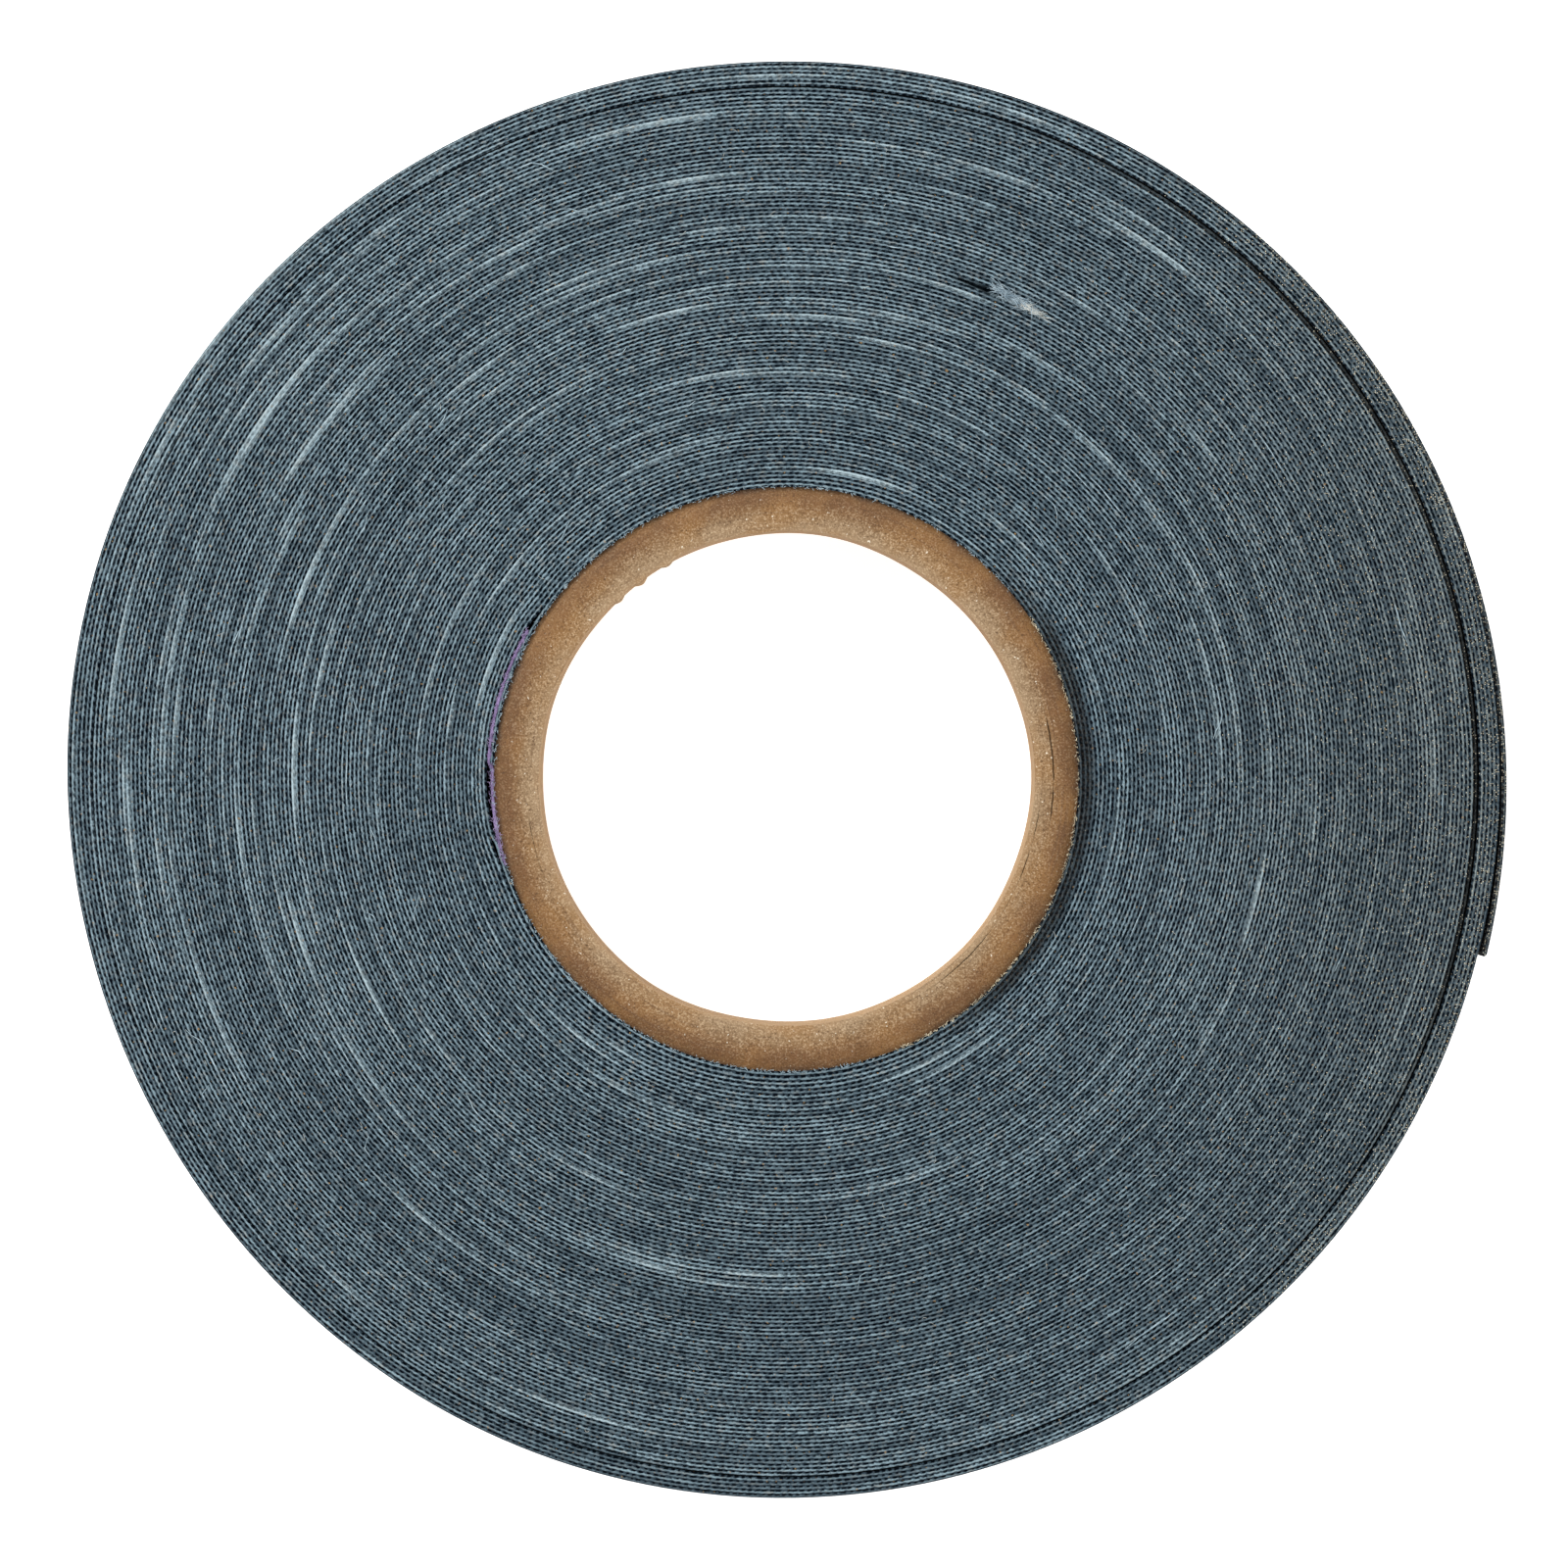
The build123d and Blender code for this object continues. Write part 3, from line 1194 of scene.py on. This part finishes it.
@dataclass
class PaperCore:
    """The core: seven glued plies of paper, the innermost a light liner."""

    bore_r: float
    outer_r: float
    width: float
    plies: int = 7
    steps: int = 720
    dome: float = 0.34
    cracks: dict[int, tuple[float, float, float]] = field(
        default_factory=lambda: {1: (-38.0, 42.0, 0.026), 3: (2.0, 20.0, 0.034), 2: (196.0, 9.0, 0.02)}
    )
    blisters: tuple[tuple[float, float, float, float], ...] = (
        (119.0, 3.0, 0.40, 1.2),
        (126.3, 3.0, 0.48, 2.0),
        (132.8, 3.0, 0.42, 1.6),
        (139.0, 3.4, 0.22, 2.4),
        (157.0, 1.2, 0.30, 0.5),
        (96.0, 4.0, 0.12, 0.6),
    )
    blister_height: float = 2.2

    def __post_init__(self) -> None:
        """Draws how the plies wander."""
        self.waver = Drift(31)
        self.rough = Drift(32)

    def build(self) -> None:
        """Makes and dresses the plies, from the bore outward."""
        kinds = (
            (Slot.LINER, "liner_paper", 0.5),
            (Slot.PAPER, "core_paper", 1.0),
            (Slot.OUTER_PAPER, "outer_paper", 0.7),
        )
        finishes = {
            slot: CorePaper(name, self.bore_r, self.outer_r, self.width, pits).make()
            for slot, name, pits in kinds
        }
        plies = [("core_inner_liner", Slot.LINER)]
        plies += [(f"core_ply_{number}", Slot.PAPER) for number in range(2, self.plies)]
        plies += [("core_outer_ply", Slot.OUTER_PAPER)]
        for number, (node, slot) in enumerate(plies):
            settle(self._ply(f"paper_{node}", number), (finishes[slot],), node)

    def _split(self, boundary: int, degrees: np.ndarray) -> np.ndarray:
        """The crack where the glue between two plies has let go.

        Args:
            boundary: how many plies are inside it.
            degrees: direction from the axis.

        Returns:
            Half its width.
        """
        middle_deg, reach_deg, widest = self.cracks.get(boundary, (0.0, 1.0, 0.0))
        off = np.abs(signed(degrees - middle_deg)) / reach_deg
        patchy = ease(self.rough.at(degrees / 5 + 50 * boundary), -0.45, 0.35)
        return widest * ease(off, 1.0, 0.5) * (0.25 + 0.75 * patchy)

    def _boundary(self, boundary: int, degrees: np.ndarray) -> np.ndarray:
        """The radius between two plies, with the core's slight waver.

        Args:
            boundary: how many plies are inside it.
            degrees: direction from the axis.

        Returns:
            The radius.
        """
        thickness = (self.outer_r - self.bore_r) / self.plies
        inward = 1 - boundary / self.plies
        turned = np.radians(degrees)
        waver = 0.07 * np.cos(3 * turned + 0.8) + 0.05 * np.cos(5 * turned - 1.1) + 0.03 * np.cos(9 * turned)
        ragged = 0.02 * self.rough.at(degrees / 0.9 + 31 * boundary) * (0 < boundary < self.plies)
        return self.bore_r + boundary * thickness + 0.9 * inward * waver + ragged

    def _blistered(self, degrees: np.ndarray, height: np.ndarray) -> np.ndarray:
        """How far the liner stands into the bore where its paper has torn and lifted.

        Args:
            degrees: direction from the axis.
            height: height above the floor.

        Returns:
            The distance inward.
        """
        total = np.zeros(np.broadcast(degrees, height).shape)
        for middle_deg, reach_deg, size, top in self.blisters:
            round_it = np.exp(-(((degrees - middle_deg) / reach_deg) ** 2) * 2)
            below = (height - (self.width - top)) / self.blister_height
            total = total + size * round_it * np.exp(-(below**2))
        return total

    def _face(self, radius: np.ndarray, degrees: np.ndarray) -> np.ndarray:
        """How far the core's end lies below the roll's face: a pressed, lumpy, round-shouldered end.

        Args:
            radius: distance from the axis.
            degrees: direction from the axis.

        Returns:
            The depth, in millimetres.
        """
        through = (radius - self.bore_r) / (self.outer_r - self.bore_r)
        shoulder = self.dome * ease(through, 0.55, 1.05) ** 1.4 + 0.12 * ease(through, 0.14, -0.05)
        lumps = 0.035 * self.waver.at(degrees / 8.5 + 2.3 * through)
        pits = 0.02 * self.rough.at(degrees / 2.3 + 3.1 * through)
        return 0.07 + shoulder + (lumps + pits)

    def _ply(self, name: str, number: int) -> bpy.types.Object:
        """One ply: a paper tube whose ends follow the core's pressed face.

        Args:
            name: the piece's name.
            number: 0 for the liner, counting outward.

        Returns:
            The piece.
        """
        degrees = np.arange(self.steps) * 360 / self.steps
        inner_gap = self._split(number, degrees) if number else np.zeros(self.steps)
        outer_gap = self._split(number + 1, degrees)
        inner = self._boundary(number, degrees) + inner_gap
        outer = self._boundary(number + 1, degrees) - outer_gap
        width = self.width
        across = (0.0, 0.12, 0.35, 0.65, 0.88, 1.0)
        top = [(share, width) for share in across]
        bottom = [(share, 0.0) for share in reversed(across)]
        levels = width - np.array([0.5, 1.2, 2.2, 3.6, 5.5, 9.0, 14.0, 19.0])
        inner_wall = [(0.0, level) for level in levels[::-1]] if number == 0 else [(0.0, width / 2)]
        share, level = np.array(top + [(1.0, width / 2)] + bottom + inner_wall).T
        radius = inner[:, None] + (outer - inner)[:, None] * share[None, :]
        height = np.repeat(level[None, :], self.steps, axis=0)
        depth = self._face(radius, degrees[:, None])
        depth = depth + 1.5 * inner_gap[:, None] * (share == 0.0) + 1.5 * outer_gap[:, None] * (share == 1.0)
        height = height - depth * (level == width)[None, :] + np.maximum(depth, 0) * (level == 0.0)[None, :]
        if number == 0:
            lining = (share == 0.0)[None, :]
            radius = radius - lining * self._blistered(degrees[:, None], height)
        return Section(polar(radius, degrees[:, None], height), loops=True).mesh(name)


Draw = np.random.RandomState
Fibre = tuple[tuple[float, float, float], float, float, float]


class Strands:
    """Fine tubes gathered into one mesh."""

    SIDES = 5
    CURL_STEPS = 6

    def __init__(self) -> None:
        """Starts with no tubes."""
        self.points: list[np.ndarray] = []
        self.faces: list[tuple[int, ...]] = []
        self.count = 0

    def tube(self, path: np.ndarray, radii: np.ndarray) -> None:
        """Adds a tube along a path.

        Args:
            path: its points, in millimetres.
            radii: its radius at each.
        """
        sides = self.SIDES
        along = np.gradient(path, axis=0)
        along /= np.maximum(np.linalg.norm(along, axis=1, keepdims=True), 1e-9)
        side = np.cross(along, (0.0, 0.0, 1.0))
        side /= np.maximum(np.linalg.norm(side, axis=1, keepdims=True), 1e-9)
        up = np.cross(side, along)
        turns = np.arange(sides) * math.tau / sides
        ring = side[:, None] * np.cos(turns)[None, :, None] + up[:, None] * np.sin(turns)[None, :, None]
        self.points.append((path[:, None] + ring * radii[:, None, None]).reshape(-1, 3))
        for step in range(len(path) - 1):
            low = self.count + step * sides
            high = low + sides
            for corner in range(sides):
                after = (corner + 1) % sides
                self.faces.append((low + corner, low + after, high + after, high + corner))
        last = self.count + (len(path) - 1) * sides
        self.faces.append(tuple(self.count + corner for corner in reversed(range(sides))))
        self.faces.append(tuple(last + corner for corner in range(sides)))
        self.count += len(path) * sides

    def curl(
        self,
        draw: Draw,
        place: tuple[float, float, float],
        length: float,
        thick: float,
        stray: float,
    ) -> None:
        """Adds a short curled fibre lying near a place on the roll's face.

        Args:
            draw: the seeded source of chance.
            place: distance from the axis, direction in degrees, and height.
            length: how long the fibre is.
            thick: its radius.
            stray: how far it turns from the way the tape runs, in radians.
        """
        heading = math.radians(place[1]) + math.pi / 2 * draw.choice((-1, 1)) + draw.normal(0, stray)
        bend = draw.normal(0, 2.6 * stray)
        rise = draw.uniform(0.0, 0.35)
        share = np.linspace(0, 1, self.CURL_STEPS)
        headings = heading + bend * share
        step = length / (self.CURL_STEPS - 1)
        x = np.concatenate(([0.0], np.cumsum(np.cos(headings[:-1]) * step)))
        y = np.concatenate(([0.0], np.cumsum(np.sin(headings[:-1]) * step)))
        z = rise * length * np.sin(share * math.pi * 0.8)
        self.tube(polar(*place) + np.stack((x, y, z), axis=1), thick * (1 - 0.6 * share))

    def mesh(self, name: str) -> bpy.types.Object:
        """Makes the one mesh, in metres.

        Args:
            name: the piece's name.

        Returns:
            The piece.
        """
        data = bpy.data.meshes.new(name)
        data.from_pydata((np.concatenate(self.points) * MM).tolist(), [], self.faces)
        shell = bmesh.new()
        shell.from_mesh(data)
        bmesh.ops.recalc_face_normals(shell, faces=shell.faces)
        shell.to_mesh(data)
        shell.free()
        data.shade_smooth()
        return stand(name, data)


def scatter(name: str, seed: int, count: int, pick: Callable[[Draw], Fibre]) -> bpy.types.Object:
    """Curled fibres strewn by chance, as one piece.

    Args:
        name: the piece's name.
        seed: picks one scatter from another.
        count: how many fibres.
        pick: draws one fibre's place, length, radius and stray.

    Returns:
        The piece.
    """
    draw = Draw(seed)
    strands = Strands()
    for _ in range(count):
        strands.curl(draw, *pick(draw))
    return strands.mesh(name)


@dataclass
class StarterTab:
    """The thin fuzzy strip that holds the tape's first end to the core."""

    winding: Winding
    from_deg: float = 197.0
    to_deg: float = 150.0
    thickness: float = 0.235
    steps: int = 120
    hairs: int = 420

    def _inner(self, degrees: np.ndarray | float) -> np.ndarray:
        """The radius of the tab's inner face, which climbs over the tape's first end."""
        step = ease(degrees, self.winding.start_deg + 1.2, self.winding.start_deg - 0.4)
        return self.winding.core_r + 0.01 + self.winding.pitch * step

    def build(self) -> None:
        """Makes the strip and the fibres that stand off it."""
        finish = PlainFibre("starter_tab_fibre", paint(132, 112, 158), paint(78, 58, 98), scale=3.5).make()
        degrees = np.linspace(self.from_deg, self.to_deg, self.steps)
        waver = Drift(41)
        thick = self.thickness * (1 + 0.12 * waver.at(degrees / 1.3))
        width = self.winding.width
        top = ((0.0, width - 0.10), (0.3, width - 0.02), (0.7, width - 0.03), (1.0, width - 0.10))
        bottom = ((1.0, 0.08), (0.5, 0.02), (0.0, 0.08))
        share, level = np.array(top + bottom).T
        radius = self._inner(degrees)[:, None] + thick[:, None] * share[None, :]
        height = level[None, :] + (level > width / 2)[None, :] * 0.04 * waver.at(degrees / 0.9 + 90)[:, None]
        tab = Section(polar(radius, degrees[:, None], height)).mesh("tab_strip")
        settle(tab, (finish,), "starter_tab")
        fuzz = PlainFibre("starter_tab_fuzz", paint(154, 136, 176), paint(100, 80, 124)).make()
        settle(scatter("tab_hairs", 43, self.hairs, self._hair), (fuzz,))

    def _hair(self, draw: Draw) -> Fibre:
        """One fibre that has worked loose from the strip's edge.

        Args:
            draw: the seeded source of chance.

        Returns:
            Its place, length, radius and stray.
        """
        degrees = draw.uniform(self.to_deg, self.from_deg)
        radius = float(self._inner(degrees)) + self.thickness * draw.normal(0.5, 0.42)
        return (radius, degrees, self.winding.width - 0.02), draw.uniform(0.12, 0.42), 0.02, 0.45


@dataclass
class LooseThreads:
    """Threads, lint and one torn tuft that lie on the slit edge."""

    winding: Winding
    threads: int = 150
    lint: int = 420
    weave: float = 0.56

    def build(self) -> None:
        """Makes and dresses the pieces."""
        pale = PlainFibre("pale_thread", paint(158, 178, 187), paint(104, 126, 138)).make()
        dusty = PlainFibre("lint", paint(198, 200, 194), paint(140, 146, 144)).make()
        felt = PlainFibre("felted_thread", paint(148, 166, 176), paint(100, 122, 136)).make()
        cream = PlainFibre("cream_fuzz", paint(206, 196, 168), paint(140, 128, 104)).make()
        for piece, finish in (
            (self._threads(), pale),
            (scatter("stray_lint", 52, self.lint, self._lint), dusty),
            (scatter("torn_tuft", 53, 230, partial(self._tuft, 0.0, 0.8)), felt),
            (scatter("torn_tuft_end", 56, 90, partial(self._tuft, 0.62, 1.0)), dusty),
            (scatter("core_side_fuzz", 54, 640, partial(self._fuzz, 36.0, 290.0)), pale),
            (scatter("core_side_crumbs", 55, 420, partial(self._fuzz, -68.0, 34.0)), cream),
        ):
            settle(piece, (finish,))

    def _threads(self) -> bpy.types.Object:
        """Pale threads that have come up out of the edge and follow their turn.

        Returns:
            The piece.
        """
        draw = Draw(51)
        strands = Strands()
        for _ in range(self.threads):
            turn = math.floor(draw.uniform(8, 95)) + draw.normal(0.05, 0.22) % 1
            length = draw.uniform(0.8, 4.5)
            line = np.linspace(0, 1, max(4, int(length / 0.5)))
            turns = turn + line * length / (math.tau * float(self.winding.inner(turn)))
            inner, outer = self.winding.faces(turns)
            slide = draw.normal(0, 0.5) * ease(line, 0.6, 1.0) * (draw.uniform() < 0.3)
            share = 0.66 + 0.12 * np.sin(line * length / self.weave * math.tau)
            height = self.winding.width + 0.015 + 0.02 * np.sin(line * math.pi)
            path = polar(inner + (outer - inner) * share + slide, self.winding.angle(turns), height)
            thick = draw.uniform(0.025, 0.05) * np.sin(np.pi * (0.08 + 0.84 * line)) ** 0.5
            strands.tube(path, thick)
        return strands.mesh("loose_threads")

    def _lint(self, draw: Draw) -> Fibre:
        """One short stray fibre, anywhere on the face.

        Args:
            draw: the seeded source of chance.

        Returns:
            Its place, length, radius and stray.
        """
        low, high = self.winding.core_r + 1, self.winding.core_r + self.winding.pitch * 96
        radius = math.sqrt(draw.uniform(low**2, high**2))
        place = (radius, draw.uniform(0, 360), self.winding.width - 0.02)
        return place, draw.uniform(0.15, 0.7), 0.016, 0.6

    def _fuzz(self, from_deg: float, to_deg: float, draw: Draw) -> Fibre:
        """One fibre on the line where the tape meets the core.

        Args:
            from_deg: where the fuzz starts.
            to_deg: where it ends.
            draw: the seeded source of chance.

        Returns:
            Its place, length, radius and stray.
        """
        radius = self.winding.core_r + draw.normal(0.04, 0.06)
        place = (radius, draw.uniform(from_deg, to_deg), self.winding.width - 0.05)
        return place, draw.uniform(0.08, 0.3), 0.026, 0.5

    def _tuft(self, low: float, high: float, draw: Draw) -> Fibre:
        """One fibre torn up beside the slit; they thin out towards both ends.

        Args:
            low: the part of the tuft's length where they start.
            high: where they stop.
            draw: the seeded source of chance.

        Returns:
            Its place, length, radius and stray.
        """
        along = draw.uniform(low, high)
        body = 0.10 + 0.24 * math.sin(math.pi * min(1.0, 0.15 + along))
        radius = 41.0 - 0.35 * along + draw.normal(0, body * 0.6)
        place = (radius, 66.9 - 5.9 * along, self.winding.width - 0.03 + draw.uniform(0, 0.12))
        return place, draw.uniform(0.3, 1.0), draw.uniform(0.02, 0.04), 0.28


@dataclass(frozen=True)
class Lamp:
    """A square soft light that faces the roll; metres and watts."""

    name: str
    place: tuple[float, float, float]
    size: float
    power: float
    tint: tuple[float, float, float]

    def hang(self) -> None:
        """Puts the light into the scene."""
        light = bpy.data.lights.new(self.name, "AREA")
        light.shape = "SQUARE"
        light.size = self.size
        light.energy = self.power
        light.color = self.tint
        lamp = stand(self.name, light)
        lamp.location = self.place
        lamp.rotation_euler = (-Vector(self.place)).to_track_quat("-Z", "Y").to_euler()


@dataclass
class Studio:
    """A plain white bench under soft light, and the camera above it; metres."""

    roll_height: float
    roll_width: float
    distance: float = 1.5
    lean: float = 0.004
    aim_x: float = -0.00015
    aim_y: float = -0.00038
    frame_share: float = 1466 / 1600
    floor_half: float = 4.0
    floor_glow: float = 0.72
    lamps: tuple[Lamp, ...] = (
        Lamp("key_light", (-0.40, 0.42, 0.62), 0.6, 6.4, (1.0, 0.99, 0.97)),
        Lamp("fill_light", (0.75, -0.35, 0.7), 0.7, 2.0, (1.0, 0.95, 0.9)),
        Lamp("low_light", (0.9, 0.25, 0.22), 0.35, 1.6, (1.0, 0.93, 0.82)),
    )

    def build(self) -> None:
        """Makes the floor, the lights, the world and the camera."""
        self._floor()
        for lamp in self.lamps:
            lamp.hang()
        world = bpy.data.worlds.new("studio_world")
        world.use_nodes = True
        background = world.node_tree.nodes["Background"]
        background.inputs["Color"].default_value = (1.0, 1.0, 1.0, 1.0)
        background.inputs["Strength"].default_value = 1.0
        bpy.context.scene.world = world
        bpy.context.scene.view_settings.view_transform = "Standard"
        self._camera()

    def _floor(self) -> None:
        """Makes a white floor that glows a little, as a light table does."""
        mesh = bpy.data.meshes.new("floor")
        half = self.floor_half
        corners = [(-half, -half, 0), (half, -half, 0), (half, half, 0), (-half, half, 0)]
        mesh.from_pydata(corners, [], [(0, 1, 2, 3)])
        floor = stand("floor", mesh)
        recipe = Recipe("floor_white")
        recipe.plug(recipe.shader.inputs["Emission Color"], (1.0, 1.0, 1.0, 1.0))
        recipe.plug(recipe.shader.inputs["Emission Strength"], self.floor_glow)
        mesh.materials.append(recipe.finish((0.8, 0.8, 0.8, 1.0), 0.9))

    def _camera(self) -> None:
        """Makes a long lens above the roll, almost straight down."""
        camera = bpy.data.cameras.new("camera")
        camera.sensor_width = 36.0
        across = self.roll_width / self.frame_share
        camera.lens = camera.sensor_width * self.distance / across
        camera.clip_start = 0.01
        camera.clip_end = 20.0
        eye = stand("camera", camera)
        aim = Vector((self.aim_x, self.aim_y, self.roll_height))
        eye.location = aim + Vector((0.0, self.lean, self.distance))
        back = (eye.location - aim).normalized()
        right = Vector((0, 1, 0)).cross(back).normalized()
        eye.rotation_euler = Matrix((right, back.cross(right), back)).transposed().to_euler()
        bpy.context.scene.camera = eye


def main() -> None:
    """Builds the core, the tab, the tape and its loose fibres, and then the studio."""
    logging.basicConfig(level=logging.INFO, format="%(message)s")
    low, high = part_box("core_outer_ply")
    width = (high.z - low.z) / MM
    core_r = (high.x - low.x) / 2 / MM
    mounts = {mount["name"]: mount["dims"] for mount in frame["record"]["mounts"]}
    bore_r = mounts["core_bore"]["r_mm"]
    hinges = [(joint["pos_m"][0] / MM, joint["pos_m"][1] / MM) for joint in frame["joints"]]
    winding = Winding(core_r, width, hinges)

    PaperCore(bore_r, core_r, width).build()
    StarterTab(winding).build()
    GripTape(winding, CutEdge().make(), TapeCloth().make()).build()
    LooseThreads(winding).build()
    Studio(width * MM, CAD_HIGH.x - CAD_LOW.x).build()


if __name__ == "__main__":
    main()
